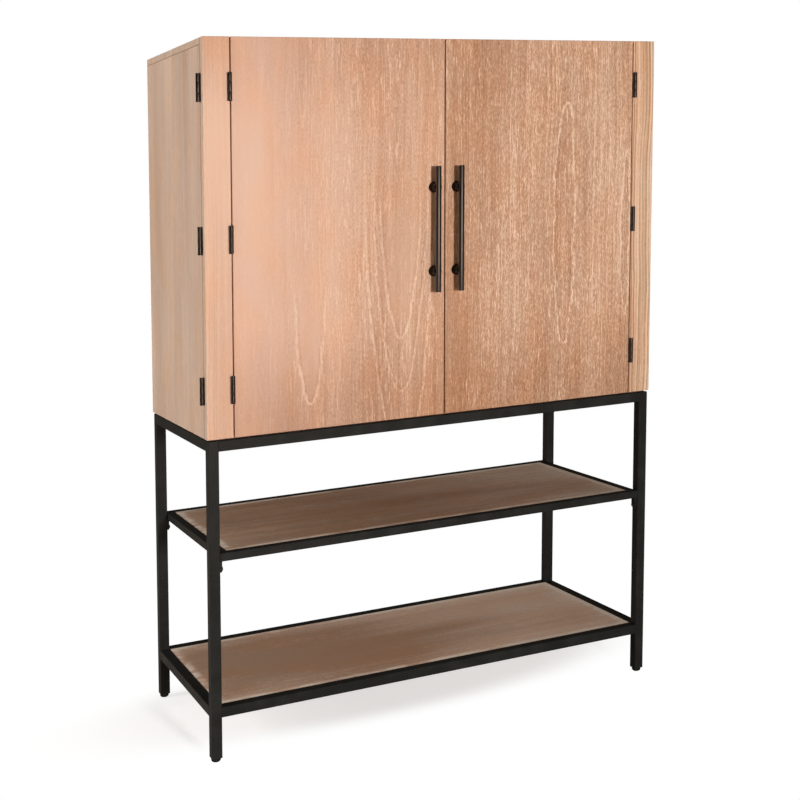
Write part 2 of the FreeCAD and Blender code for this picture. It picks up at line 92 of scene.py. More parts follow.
class Slot(Enum):
    """Names of two material slots; nothing in the script uses them."""

    HARDWARE = "black_hardware"
    PLASTIC = "black_plastic"


class Grain(Enum):
    """How a board's grain lies: the object's axes that run across it, through it and along it."""

    UPRIGHT_FRONT = ("X", "Y", "Z")
    UPRIGHT_SIDE = ("Y", "X", "Z")
    LENGTHWISE = ("Y", "Z", "X")


class Noise(Enum):
    """Noise fields: cells per metre across and along the grain, a seed and finer layers."""

    PAPER = (40, 40, 2, 2)
    SWAY = (5, 2.2, 3, 2)
    RUBBING = (18, 18, 5, 3)
    CLOUDS = (7, 1.4, 11, 2)
    STREAKS = (70, 2.2, 23, 3)
    LINES = (230, 0.8, 29, 2)
    DASHES = (420, 30, 37, 2)
    CROWDS = (24, 5, 43, 2)
    FLECKS = (400, 130, 51, 1)
    BENDS = (40, 16, 61, 2)
    FRAYS = (190, 55, 63, 2)
    PATCHES = (14, 5, 71, 2)
    BREAKS = (340, 75, 83, 1)
    WEAR = (40, 14, 91, 2)


class Change(Enum):
    """Smooth changes: where each starts and ends, and its result before and after."""

    CROWDING = (0.35, 0.65, 0.15, 0.55)
    PORES = (0.52, 0.70, -0.14, 1.0)
    PATCHING = (0.35, 0.65, 0.0, 1.0)
    BREAKING = (0.38, 0.60, 0.30, 1.0)
    RING = (0.0006, 0.0048, 0.48, 0.0)
    RING_SHADE = (0.0005, 0.005, 0.15, 0.0)
    RING_INSIDE = (0.75, 1.05, 1.0, 0.0)
    SEAM = (0.001, 0.0025, -0.7, 0.0)
    # A worn, paler line along a shelf's edges that also stands for a painted highlight
    EDGE = (0.005, 0.026, 0.85, 0.0)
    EDGE_WEAR = (0.35, 0.60, 0.25, 1.0)
    # Painted light: broad paler bands along a shelf's edges and ends
    EDGE_PAINTED_LIGHT = (0.0, 0.09, 0.16, 0.0)
    END_PAINTED_LIGHT = (0.0, 0.45, 0.08, 0.0)
    RUBBED = (0.40, 0.72, 0.0, 1.0)
    PEBBLED = (0.35, 0.75, 0.5, 1.0)
    SHADOW_END = (0.7, 1.45, 0.0, 1.0)
    FLOOR_SHADE = (0.0, 1.0, 0.72, 0.0)
    FLOOR_GLOW = (0.0, 1.0, 0.56, 1.0)
    PAPER = (0.2, 0.8, 0.98, 1.0)


def linear(colour: Colour) -> Rgba:
    """The scene-linear value of a colour as it looks on a screen.

    Args:
        colour: red, green and blue from 0 to 255.

    Returns:
        Linear red, green and blue, and an alpha of 1.
    """
    share = np.asarray(colour, float) / 255
    value = np.where(share <= 0.04045, share / 12.92, ((share + 0.055) / 1.055) ** 2.4)
    return (*value.tolist(), 1.0)


class Graph:
    """A tree of shader nodes, with short calls for the few kinds that the looks use."""

    def __init__(self, tree: bpy.types.ShaderNodeTree) -> None:
        """Takes the tree that new nodes go into."""
        self.tree = tree

    def node(self, kind: str, settings: dict[str, object], *values: Value | tuple) -> bpy.types.Node:
        """Adds a node.

        Args:
            kind: the node's type without its ShaderNode prefix.
            settings: properties of the node itself.
            values: sockets to link or values to set, in the order of its inputs.

        Returns:
            The new node.
        """
        made = self.tree.nodes.new(f"ShaderNode{kind}")
        for key, setting in settings.items():
            setattr(made, key, setting)
        for entry, value in zip(made.inputs, values):
            self.plug(entry, value)
        return made

    def plug(self, entry: Socket, value: Value | tuple) -> None:
        """Links a socket to an input, or sets the input's own value."""
        if isinstance(value, bpy.types.NodeSocket):
            self.tree.links.new(value, entry)
        else:
            entry.default_value = value

    def fill(self, node: bpy.types.Node, inputs: dict[str, Value]) -> None:
        """Links or sets a node's inputs by name."""
        for name, value in inputs.items():
            self.plug(node.inputs[name], value)

    def math(self, operation: str, *values: Value) -> Socket:
        """The result of one arithmetic step."""
        return self.node("Math", {"operation": operation}, *values).outputs[0]

    def length(self, first: Socket, second: Socket) -> Socket:
        """The root of the sum of two squares."""
        square = self.math("MULTIPLY", second, second)
        return self.math("SQRT", self.math("MULTIPLY_ADD", first, first, square))

    def centred(self, noise: Socket) -> Socket:
        """Noise moved so that its middle is zero."""
        return self.math("SUBTRACT", noise, MIDDLE)

    def remap(self, value: Value, start: float, end: float, low: float = 0.0,
              high: float = 1.0) -> Socket:
        """A smooth, clamped change from low to high while the value goes from start to end."""
        settings = {"interpolation_type": "SMOOTHSTEP"}
        return self.node("MapRange", settings, value, start, end, low, high).outputs[0]

    def ease(self, value: Value, change: Change) -> Socket:
        """One of the named changes, driven by a value."""
        return self.remap(value, *change.value)

    def ramp(self, value: Value, start: float, end: float) -> Socket:
        """A straight change from 0 to 1 while the value goes from start to end."""
        return self.node("MapRange", {}, value, start, end).outputs[0]

    def blend(self, share: Value, first: Socket | Rgba, second: Socket | Rgba) -> Socket:
        """A colour between two others.

        Args:
            share: how much of the second colour there is.
            first: the colour at a share of 0.
            second: the colour at a share of 1.

        Returns:
            The mixed colour.
        """
        made = self.node("Mix", {"data_type": "RGBA"}, share)
        for place, colour in zip(MIX_COLOURS, (first, second)):
            self.plug(made.inputs[place], colour)
        return made.outputs[MIX_RESULT]

    def tinted(self, colour: Socket, tint: Rgba) -> Socket:
        """A colour multiplied by a tint."""
        mixed = self.blend(1.0, colour, tint)
        mixed.node.blend_type = "MULTIPLY"
        return mixed

    def place(self) -> tuple[Socket, bpy.types.NodeOutputs]:
        """The point on the object as one vector, and its X, Y and Z by name."""
        point = self.node("TexCoord", {}).outputs["Object"]
        return point, self.node("SeparateXYZ", {}, point).outputs

    def noise(self, point: Socket, scale: Triple, seed: float, detail: float) -> Socket:
        """Smooth noise with its own scale along each axis.

        Args:
            point: where the noise is read, in metres.
            scale: cells per metre along each axis.
            seed: moves the noise to another place in its field.
            detail: how many finer layers there are.

        Returns:
            The noise, from 0 to 1.
        """
        shift = tuple(seed * share for share in SEED_SHIFT)
        spread = self.node("VectorMath", {"operation": "MULTIPLY_ADD"}, point, scale, shift)
        texture = self.node("TexNoise", {})
        self.fill(texture, {"Vector": spread.outputs[0], "Scale": 1.0, "Detail": detail})
        return texture.outputs["Fac"]

    def field(self, point: Socket, kind: Noise, seed: float = 0.0) -> Socket:
        """One of the named noise fields, moved on by a further seed."""
        across, along, own_seed, detail = kind.value
        return self.noise(point, (across, across, along), own_seed + seed, detail)

    def looked_at(self) -> Socket:
        """One where the camera sees a surface, directly or through another."""
        path = self.node("LightPath", {}).outputs
        return self.math("MAXIMUM", path["Is Camera Ray"], path["Is Transmission Ray"])


class Paint(Graph):
    """The nodes of a new material."""

    def __init__(self, name: str) -> None:
        """Starts the material with a plain shader."""
        self.material = bpy.data.materials.new(name)
        self.material.use_nodes = True
        super().__init__(self.material.node_tree)
        self.shader = self.tree.nodes["Principled BSDF"]

    def coat(self, colour: Socket, rough: Socket, gloss: float, metallic: float = 0.0) -> None:
        """Sets the shader's colour, its roughness and how strongly it reflects."""
        self.fill(self.shader, {"Base Color": colour, "Roughness": rough,
                                "Specular IOR Level": gloss, "Metallic": metallic})

    def bump(self, height: Socket, depth: float) -> None:
        """Gives the shader a relief of that depth in metres."""
        made = self.node("Bump", {})
        self.fill(made, {"Distance": depth, "Height": height})
        self.plug(self.shader.inputs["Normal"], made.outputs[0])


class Timber(Paint):
    """A board's material, with the point on the board in its grain's own axes.

    level is the plain place across the grain, and across the same with the grain's sway.
    """

    def __init__(self, name: str, grain: Grain, seed: float, sway: float) -> None:
        """Starts the material and lays the grain.

        Args:
            name: the material's name.
            grain: how the grain lies.
            seed: gives the board marks of its own.
            sway: how far the grain wanders sideways, in metres.
        """
        super().__init__(name)
        self.seed = seed
        _, self.axes = self.place()
        self.level, through, self.along = (self.axes[axis] for axis in grain.value)
        self.point = self.node("CombineXYZ", {}, self.level, through, self.along).outputs[0]
        wander = self.math("MULTIPLY", self.centred(self.own(Noise.SWAY)), sway)
        self.across = self.math("ADD", self.level, wander)
        self.point = self.node("CombineXYZ", {}, self.across, through, self.along).outputs[0]

    def own(self, kind: Noise) -> Socket:
        """One of the named noise fields as it falls on this board."""
        return self.field(self.point, kind, self.seed)


@dataclass(frozen=True)
class Figure:
    """A set of nested long ovals in a board's face, where the saw cut along the growth rings.

    Sizes are in metres: the centre across and along the grain, the half width and half length of
    the ring called 1, and the rings that show as shares of it. The rings die out over the stretch
    fade along the grain, and calm is how much of the grain's marks is lost inside. Each line has a
    shade at shade_gap inside it. least_ring keeps the slope finite at the centre.
    """

    across: float
    along: float
    half_width: float
    half_length: float
    rings: tuple[float, ...]
    fade: Span
    calm: float = 0.0
    strength: float = 1.0
    shade_gap: float = 0.0060
    least_ring: float = 0.01

    def drawn(self, oak: Timber, across: Socket) -> tuple[Socket, Socket]:
        """The figure's rings.

        With a and b the distances from the centre as shares of the half width and half length, the
        ring through a point is s = sqrt(a^2 + b^2). The distance to a ring is the change of s
        divided by its slope, so that a line is as thin at its tip as along its sides.

        Args:
            oak: the material that is being made.
            across: the place across the grain.

        Returns:
            A pale line on each ring with a dark one inside it, and how far in the point lies.
        """
        a = oak.math("DIVIDE", oak.math("SUBTRACT", across, self.across), self.half_width)
        b = oak.math("DIVIDE", oak.math("SUBTRACT", oak.along, self.along), self.half_length)
        ring = oak.math("MAXIMUM", oak.length(a, b), self.least_ring)
        side = oak.math("DIVIDE", a, self.half_width)
        tip = oak.math("DIVIDE", b, self.half_length)
        slope = oak.math("DIVIDE", oak.length(side, tip), ring)
        here = oak.remap(oak.along, *self.fade, 1.0, 0.0)
        lines: Value = 0.0
        for place in self.rings:
            gap = oak.math("DIVIDE", oak.math("SUBTRACT", ring, place), slope)
            pale = oak.ease(oak.math("ABSOLUTE", gap), Change.RING)
            inner = oak.math("ABSOLUTE", oak.math("ADD", gap, self.shade_gap))
            line = oak.math("SUBTRACT", pale, oak.ease(inner, Change.RING_SHADE))
            lines = oak.math("ADD", lines, line)
        inside = oak.math("MULTIPLY", oak.ease(ring, Change.RING_INSIDE), here)
        clear = oak.math("MULTIPLY", lines, self.strength)
        return oak.math("MULTIPLY", clear, here), inside


@dataclass(frozen=True)
class LimedOak:
    """Oak with pale pores: a tan ground with streaks, short flecks and figure along the grain.

    near and far are the ground's colours at the two ends of span, across the grain, and pale the
    pores'. contrast says how strongly the grain marks the ground, and quiet the places across the
    grain between which it goes from its faint share to full. flecked, lined and cloudy are the
    shares of short flecks, straight lines and broad clouds.
    The dark stretches along the grain are painted shade: each gives the places along the grain between
    which the ground goes from dark to plain, and how dark. seam is the height of a dark joint, and rim
    the board's low and high corners, along whose edges it is paler, partly from wear and partly from
    painted light. The pores' relief, and how far the grain sways and its figures bend and fray, are in
    metres.
    """

    name: str
    near: Colour
    far: Colour
    span: Span
    seed: float
    grain: Grain
    contrast: float = 1.0
    pale: Colour = (244, 212, 186)
    flecked: float = 1.0
    lined: float = 0.4
    cloudy: float = 0.5
    quiet: Span | None = None
    dusk: tuple[Triple, ...] = ()
    seam: float | None = None
    rim: tuple[Points, Points] | None = None
    figures: tuple[Figure, ...] = ()
    roughness: float = 0.55
    rough_rise: float = 0.15
    gloss: float = 0.3
    relief: float = 0.00015
    sway: float = 0.030
    bend: float = 0.012
    fray: float = 0.009
    faint: float = 0.25
    streak_strength: float = 0.5
    line_strength: float = 1.4
    fleck_strength: float = 1.2
    pale_share: float = 0.8
    warm_tint: Rgba = (1.03, 0.95, 0.88, 1.0)
    dark_tint: Rgba = (0.60, 0.52, 0.45, 1.0)

    def material(self) -> Material:
        """The finish as a material.

        Returns:
            A material whose ground, streaks, flecks and figure follow the board's grain.
        """
        oak = Timber(self.name, self.grain, self.seed, self.sway)
        flecks = oak.own(Noise.FLECKS)
        marks = oak.math("MULTIPLY", self._marks(oak, flecks), self._strength(oak))
        across = oak.across
        for kind, reach in ((Noise.BENDS, self.bend), (Noise.FRAYS, self.fray)):
            across = oak.math("MULTIPLY_ADD", oak.centred(oak.own(kind)), reach, across)
        lines: Value = 0.0
        for figure in self.figures:
            drawn, inside = figure.drawn(oak, across)
            kept = oak.math("MULTIPLY_ADD", inside, -figure.calm, 1.0)
            marks = oak.math("MULTIPLY", marks, kept)
            lines = oak.math("ADD", lines, drawn)
        broken = oak.ease(oak.own(Noise.BREAKS), Change.BREAKING)
        light = oak.math("MULTIPLY_ADD", lines, broken, self._shade(oak))
        light = oak.math("ADD", light, marks)
        roughest = self.roughness + self.rough_rise
        rough = oak.remap(flecks, *ROUGH_SPAN, self.roughness, roughest)
        oak.coat(self._colour(oak, light), rough, self.gloss)
        oak.bump(flecks, self.relief)
        return oak.material

    def _colour(self, oak: Timber, light: Socket) -> Socket:
        """The wood's colour: its ground at the middle lightness, darker below and paler above.

        Args:
            oak: the material that is being made.
            light: the lightness.

        Returns:
            The colour.
        """
        share = oak.remap(oak.level, *self.span)
        ground = oak.blend(share, linear(self.near), linear(self.far))
        patches = oak.ease(oak.own(Noise.PATCHES), Change.PATCHING)
        ground = oak.blend(patches, ground, oak.tinted(ground, self.warm_tint))
        dark = oak.tinted(ground, self.dark_tint)
        pale = oak.blend(self.pale_share, ground, linear(self.pale))
        wood = oak.blend(oak.ramp(light, 0.0, MIDDLE), dark, ground)
        return oak.blend(oak.ramp(light, MIDDLE, 1.0), wood, pale)

    def _marks(self, oak: Timber, flecks: Socket) -> Socket:
        """The grain's streaks, straight lines, pale dashes and flecks, about zero.

        Args:
            oak: the material that is being made.
            flecks: the shortest marks.

        Returns:
            How much lighter or darker the grain makes the ground.
        """
        crowd = oak.ease(oak.own(Noise.CROWDS), Change.CROWDING)
        pores = oak.ease(oak.own(Noise.DASHES), Change.PORES)
        streaks = oak.centred(oak.own(Noise.STREAKS))
        total = oak.math("MULTIPLY", streaks, self.streak_strength)
        layers = (
            (oak.math("MULTIPLY", pores, crowd), self.flecked),
            (oak.centred(oak.own(Noise.LINES)), self.line_strength * self.lined),
            (oak.centred(flecks), self.fleck_strength * self.flecked),
        )
        for layer, strength in layers:
            total = oak.math("MULTIPLY_ADD", layer, strength, total)
        return total

    def _strength(self, oak: Timber) -> Value:
        """How strongly the grain marks the ground at a point."""
        if self.quiet is None:
            return self.contrast
        faint = self.contrast * self.faint
        return oak.remap(oak.level, *self.quiet, faint, self.contrast)

    def _shade(self, oak: Timber) -> Socket:
        """The ground's lightness before the grain: broad clouds, painted shade and paler edges.

        The darker stretches along the grain are painted shade; the edges are paler partly from wear and
        partly from painted light.

        Args:
            oak: the material that is being made.

        Returns:
            The lightness, a half where the ground has its own colour.
        """
        clouds = oak.centred(oak.own(Noise.CLOUDS))
        shade = oak.math("MULTIPLY_ADD", clouds, self.cloudy, MIDDLE)
        # Painted shade: the ground darkens along the grain over each given stretch
        for dark, plain, depth in self.dusk:
            fall = oak.remap(oak.along, dark, plain, -depth, 0.0)
            shade = oak.math("ADD", shade, fall)
        if self.seam is not None:
            rise = oak.math("SUBTRACT", oak.axes["Z"], self.seam)
            joint = oak.ease(oak.math("ABSOLUTE", rise), Change.SEAM)
            shade = oak.math("ADD", shade, joint)
        if self.rim is not None:
            shade = self._worn_and_lit_rim(oak, shade)
        return shade

    def _worn_and_lit_rim(self, oak: Timber, shade: Socket) -> Socket:
        """Adds the board's paler edges and ends: a worn line with painted highlight along each edge, and
        painted light along the edges and ends.

        Args:
            oak: the material that is being made.
            shade: the lightness without them.

        Returns:
            The lightness with them.
        """
        gaps = []
        for axis, low, high in zip("XY", *self.rim):
            from_low = oak.math("SUBTRACT", oak.axes[axis], float(low))
            from_high = oak.math("SUBTRACT", float(high), oak.axes[axis])
            gaps.append(oak.math("MINIMUM", from_low, from_high))
        edge = oak.math("MINIMUM", *gaps)
        worn = oak.ease(oak.own(Noise.WEAR), Change.EDGE_WEAR)
        # Worn edge line with painted highlight, then painted light along the edges and along the ends
        shade = oak.math("MULTIPLY_ADD", oak.ease(edge, Change.EDGE), worn, shade)
        shade = oak.math("ADD", shade, oak.ease(edge, Change.EDGE_PAINTED_LIGHT))
        return oak.math("ADD", shade, oak.ease(gaps[0], Change.END_PAINTED_LIGHT))


@dataclass(frozen=True)
class CoatedMetal:
    """Metal or plastic with a matt or satin skin, finely pebbled and rubbed in places.

    pebble counts the pebbles along a metre, depth is their relief in metres, and uneven how far the
    roughness strays.
    """

    name: str
    colour: Colour
    rubbed: Colour
    roughness: float
    pebble: float
    depth: float
    gloss: float
    metallic: float = 0.0
    uneven: float = 0.06
    pebble_seed: float = 9.0
    pebble_detail: float = 1.0

    def material(self) -> Material:
        """The finish as a material.

        Returns:
            A material with a mottled colour, uneven roughness and a pebbled relief.
        """
        paint = Paint(self.name)
        point, _ = paint.place()
        cloud = paint.field(point, Noise.RUBBING)
        cells = (self.pebble, self.pebble, self.pebble)
        skin = paint.noise(point, cells, self.pebble_seed, self.pebble_detail)
        pebbled = paint.ease(skin, Change.PEBBLED)
        share = paint.math("MULTIPLY", paint.ease(cloud, Change.RUBBED), pebbled)
        mixed = paint.blend(share, linear(self.colour), linear(self.rubbed))
        limits = (self.roughness - self.uneven, self.roughness + self.uneven)
        paint.coat(mixed, paint.remap(cloud, *ROUGH_SPAN, *limits), self.gloss, self.metallic)
        paint.bump(skin, self.depth)
        return paint.material


@dataclass
class Shell:
    """One closed surface before it becomes a mesh: points in metres and faces that index them."""

    points: Points
    faces: list[tuple[int, ...]]

    def moved(self, offset: Points | Triple) -> "Shell":
        """The surface carried by an offset."""
        return Shell(self.points + offset, self.faces)

    def aimed(self, direction: Vector) -> "Shell":
        """The surface turned so that its Z axis lies along a direction."""
        turn = np.array(Vector((0, 0, 1)).rotation_difference(direction).to_matrix())
        return Shell(self.points @ turn.T, self.faces)

    def mirrored(self) -> "Shell":
        """The right-hand copy, with its faces turned back outwards."""
        return Shell(self.points * (-1, 1, 1), [face[::-1] for face in self.faces])

    def swapped(self) -> "Shell":
        """The copy with X and Y exchanged, with its faces turned back outwards."""
        return Shell(self.points[:, [1, 0, 2]], [face[::-1] for face in self.faces])


def grid_faces(rows: int, columns: int, wrapped: bool) -> list[tuple[int, ...]]:
    """Four-sided faces of a grid of rings, each of which closes on itself.

    Args:
        rows: how many rings of points there are.
        columns: how many points each ring has.
        wrapped: whether the last ring joins the first.

    Returns:
        The faces as tuples of point numbers.
    """
    bands = rows if wrapped else rows - 1
    i, j = np.meshgrid(np.arange(bands), np.arange(columns), indexing="ij")
    k, m = (i + 1) % rows, (j + 1) % columns
    corners = [i * columns + j, i * columns + m, k * columns + m, k * columns + j]
    table = np.stack([corner.ravel() for corner in corners], axis=1)
    return [tuple(face) for face in table.tolist()]


def capped(rings: Points) -> Shell:
    """Closes a stack of rings with a flat face at each end.

    Args:
        rings: points as rings by points by three, anticlockwise seen from the last ring.

    Returns:
        The closed surface.
    """
    rows, columns, _ = rings.shape
    first = tuple(range(columns))[::-1]
    last = tuple(range((rows - 1) * columns, rows * columns))
    return Shell(rings.reshape(-1, 3), [*grid_faces(rows, columns, False), first, last])


def rounded(radius: float, widening: float, rise: float, count: int) -> Points:
    """A quarter of an ellipse from (radius, 0) to (radius + widening, rise), level at first."""
    turn = np.linspace(0, np.pi / 2, count)
    return np.stack([radius + widening * np.sin(turn), rise * (1 - np.cos(turn))], axis=1)


def softened(radius: float, edge: float, low: float, high: float) -> Points:
    """The profile from low to high of a round bar whose edges are rounded by that much."""
    lower = rounded(radius - edge, edge, edge, EDGE_POINTS)
    return np.concatenate([lower + (0, low), lower[::-1] * (1, -1) + (0, high)])


def turned(profile: Points, steps: int, six_sided: tuple[int, ...] = ()) -> Shell:
    """A surface of revolution about Z, closed by flat faces at both ends.

    In a six-sided row the radius is divided by the cosine of the angle from the nearest flat.

    Args:
        profile: (radius, height) in millimetres, from the bottom to the top.
        steps: how many points go round.
        six_sided: numbers of the rows that are hexagons.

    Returns:
        The closed surface.
    """
    radius, height = np.asarray(profile, float).T * MM
    angle = np.arange(steps) * (2 * np.pi / steps)
    hexagon = 1 / np.cos((angle + np.pi / 6) % (np.pi / 3) - np.pi / 6)
    reach = np.repeat(radius[:, None], steps, axis=1)
    reach[list(six_sided)] *= hexagon
    level = np.repeat(height[:, None], steps, axis=1)
    return capped(np.stack([reach * np.cos(angle), reach * np.sin(angle), level], axis=-1))


def collar(bore: float, profile: Points) -> Shell:
    """A short tube about Z: a closed section carried round a circle.

    Args:
        bore: the bore's radius in millimetres.
        profile: the outside as (radius, height), from the bottom to the top.

    Returns:
        The closed surface.
    """
    inside = [(bore, profile[-1, 1]), (bore, profile[0, 1])]
    section = np.concatenate([profile, inside]) * MM
    angle = np.arange(KNUCKLE_STEPS) * (2 * np.pi / KNUCKLE_STEPS)
    level = np.repeat(section[:, 1:], KNUCKLE_STEPS, axis=1)
    rings = np.stack([section[:, :1] * np.cos(angle), section[:, :1] * np.sin(angle), level], axis=-1)
    return Shell(rings.reshape(-1, 3), grid_faces(len(section), KNUCKLE_STEPS, True))


def plate(x: Span, y: Span, z: Span, corner: float, bevel: float) -> Shell:
    """A thin plate in the YZ plane: rectangles with rounded corners, stacked along X.

    Args:
        x: the two faces in millimetres.
        y: the limits across.
        z: the limits in height.
        corner: the radius of the corners.
        bevel: how much of each edge is taken off.

    Returns:
        The closed surface.
    """
    turn = np.linspace(0, np.pi / 2, CORNER_POINTS)
    angle = np.concatenate([turn + quarter * np.pi / 2 for quarter in range(4)])
    side_y = np.repeat([1, -1, -1, 1], len(turn))
    side_z = np.repeat([1, 1, -1, -1], len(turn))
    half_y = (y[1] - y[0]) / 2 - corner
    half_z = (z[1] - z[0]) / 2 - corner
    rings = []
    for level, inset in ((x[0], bevel), (x[0] + bevel, 0.0), (x[1] - bevel, 0.0), (x[1], bevel)):
        reach = corner - inset
        ring_y = sum(y) / 2 + side_y * half_y + reach * np.cos(angle)
        ring_z = sum(z) / 2 + side_z * half_z + reach * np.sin(angle)
        rings.append(np.stack([np.full_like(ring_y, level), ring_y, ring_z], axis=1))
    return capped(np.stack(rings) * MM)


def add_object(name: str, data: bpy.types.ID | None) -> bpy.types.Object:
    """A new object in the scene, at the origin."""
    made = bpy.data.objects.new(name, data)
    bpy.context.scene.collection.objects.link(made)
    return made


def make_piece(name: str, shells: list[Shell], finish: Material, body: str,
               stands_for: tuple[str, ...]) -> None:
    """Joins surfaces into one object at the origin.

    Args:
        name: the piece's name.
        shells: the closed surfaces.
        finish: its material.
        body: the body that it rides on.
        stands_for: nodes that it is shown in place of.
    """
    starts = np.cumsum([0, *[len(shell.points) for shell in shells]])
    points = np.concatenate([shell.points for shell in shells])
    faces = [tuple(start + number for number in face)
             for start, shell in zip(starts, shells) for face in shell.faces]
    mesh = bpy.data.meshes.new(name)
    mesh.from_pydata(points.tolist(), [], faces)
    mesh.polygons.foreach_set("use_smooth", np.ones(len(faces), bool))
    mesh.set_sharp_from_angle(angle=math.radians(SHARP_ANGLE))
    mesh.materials.append(finish)
    piece = add_object(name, mesh)
    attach(piece, body)
    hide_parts(*stands_for)
    LOG.info("%s rides on %s with %d faces", name, body, len(faces))


def dress(finish: Material, *nodes: str) -> None:
    """Gives nodes a finish in place of their plain slot colours."""
    for name in nodes:
        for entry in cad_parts[name].material_slots:
            entry.material = finish
        LOG.info("%s has the finish %s", name, finish.name)


def paint_side_shade(finish: Material, node: str, side: float) -> None:
    """Gives the faces of a dressed node that look to one side a finish of their own: painted shade.

    Args:
        finish: the material of those faces.
        node: the node's name.
        side: -1 for faces that look to the left, 1 for the right.
    """
    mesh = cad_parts[node].data
    mesh.materials.append(finish)
    last = len(mesh.materials) - 1
    for face in mesh.polygons:
        if face.normal.x * side > SIDEWAYS:
            face.material_index = last


def box_of(node: str) -> tuple[Points, Points, Points]:
    """A node's lowest corner, its middle and its highest corner."""
    low, high = (np.array(corner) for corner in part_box(node))
    return low, (low + high) / 2, high


@dataclass
class Boards:
    """The wooden boards: doors, stiles, panels and shelves, each with its own run of grain.

    depth is the stretch from front to back over which most boards change colour.
    """

    depth: Span = (-0.21, 0.27)
    # The shelves' pale colour: that of their pores, and of their edges where wear and painted light show
    pore_and_lit_edge_pale: Colour = (252, 240, 226)

    def build(self) -> None:
        """Dresses every wooden node."""
        self._fronts()
        self._panels()
        self._shelves()
        self._inside()

    def _clad(self, **boards: LimedOak) -> None:
        """Gives each node the finish that goes with its name."""
        for node, oak in boards.items():
            dress(oak.material(), node)

    def _fronts(self) -> None:
        """Doors and corner stiles, where the figure shows most."""
        left_figures = (
            Figure(across=-0.117, along=1.314, half_width=0.050, half_length=0.350,
                   rings=(1.0, 1.37, 1.80), fade=(1.16, 1.42), calm=0.5, strength=0.8),
            Figure(across=-0.352, along=1.306, half_width=0.045, half_length=0.480,
                   rings=(0.43, 1.0), fade=(1.00, 1.16), calm=0.5, strength=0.8),
        )
        right_figures = (
            Figure(across=0.339, along=1.219, half_width=0.029, half_length=0.305,
                   rings=(1.0,), fade=(1.70, 1.80), strength=1.1),
            Figure(across=0.523, along=1.188, half_width=0.014, half_length=0.211,
                   rings=(1.0,), fade=(1.70, 1.80), strength=1.3),
        )
        # Painted shade: the doors darken towards their bottoms and tops, the left stile towards its top
        left_dusk = ((0.76, 1.05, 0.30), (1.70, 1.40, 0.17))
        right_dusk = ((0.76, 1.05, 0.24), (1.70, 1.40, 0.03))
        board = partial(LimedOak, grain=Grain.UPRIGHT_FRONT)
        self._clad(
            door_left=board("left_door_oak", (226, 185, 163), (208, 165, 138), (-0.54, 0.0), seed=1.0,
                contrast=0.75, quiet=(-0.50, -0.15), dusk=left_dusk, figures=left_figures),
            door_right=board("right_door_oak", (191, 147, 118), (202, 162, 135), (0.0, 0.54), seed=2.0,
                contrast=1.1, flecked=0.9, lined=0.55, cloudy=0.7, quiet=(-0.25, 0.25),
                dusk=right_dusk, figures=right_figures),
            corner_stile_left=board("left_stile_oak", (231, 189, 164), (230, 188, 163), (-0.60, -0.54),
                seed=3.0, contrast=0.35, flecked=0.4, lined=0.8, cloudy=0.7,
                dusk=((1.70, 1.42, 0.30),)),
            corner_stile_right=board("right_stile_oak", (213, 172, 142), (215, 181, 153), (0.54, 0.60),
                seed=4.0, contrast=0.9, flecked=0.5, lined=2.2),
        )

    def _panels(self) -> None:
        """Sides, top and back of the box."""
        joint = float(box_of("side_panel_left")[2][2])
        side = partial(LimedOak, grain=Grain.UPRIGHT_SIDE)
        self._clad(
            # The side panels' greyer tone than the fronts is partly painted shade
            side_panel_left=side("left_side_oak", (200, 175, 158), (199, 174, 156), self.depth, seed=5.0,
                contrast=0.55, flecked=0.5, lined=0.45, cloudy=0.8, seam=joint),
            side_panel_right=side("right_side_oak", (204, 174, 151), (201, 172, 150), self.depth,
                seed=6.0, contrast=0.6, flecked=0.4, lined=0.8, seam=joint),
            top_panel=LimedOak("top_oak", (212, 170, 140), (208, 166, 136), self.depth, seed=7.0,
                contrast=0.8, grain=Grain.LENGTHWISE),
            back_panel=LimedOak("plain_oak", (200, 158, 127), (196, 154, 125), (-0.6, 0.6), seed=8.0,
                contrast=0.7, grain=Grain.UPRIGHT_FRONT),
        )
        # Painted shade: the faces of the stiles and the top that look sideways take the side panels'
        # greyer tone
        edge = side("edge_oak", (196, 172, 154), (194, 171, 153), (-0.24, 0.27), seed=15.0, contrast=0.5)
        outer = edge.material()
        for hand, sign in zip(SIDES, (-1.0, 1.0)):
            paint_side_shade(outer, f"corner_stile_{hand}", sign)
            paint_side_shade(outer, "top_panel", sign)

    def _shelves(self) -> None:
        """The two open shelves of the stand, stained browner, with painted shade over their left and
        middle.
        """
        middle = ("middle_shelf_board", (200, 176, 157), 0.36, 9)
        bottom = ("bottom_shelf_board", (220, 193, 174), 0.55, 10)
        for node, brown, dark, seed in (middle, bottom):
            low, _, high = box_of(node)
            # The third entry of each row is the depth of the painted shade; the rim paints light along
            # the edges and ends, over a worn edge line
            oak = LimedOak(f"{node}_oak", brown, brown, (-0.20, 0.24), seed, Grain.LENGTHWISE,
                           contrast=0.5, pale=self.pore_and_lit_edge_pale, cloudy=1.0,
                           dusk=((-0.20, 0.40, dark),), rim=(low, high), roughness=0.45)
            dress(oak.material(), node)

    def _inside(self) -> None:
        """Shelves, divider, floor and stemware rails inside the box."""
        level = LimedOak("inner_oak", (206, 162, 130), (200, 156, 125), self.depth, seed=12.0,
                         contrast=0.7, grain=Grain.LENGTHWISE)
        dress(level.material(), "bottom_panel", "fixed_shelf", "loose_shelf_left", "loose_shelf_right")
        upright = replace(level, name="divider_oak", grain=Grain.UPRIGHT_SIDE, seed=13.0)
        dress(upright.material(), "centre_divider")
        rails = LimedOak("rail_oak", (198, 154, 123), (198, 154, 123), self.depth, seed=14.0,
                         contrast=0.6, grain=Grain.UPRIGHT_SIDE)
        dress(rails.material(), "stemware_rails")


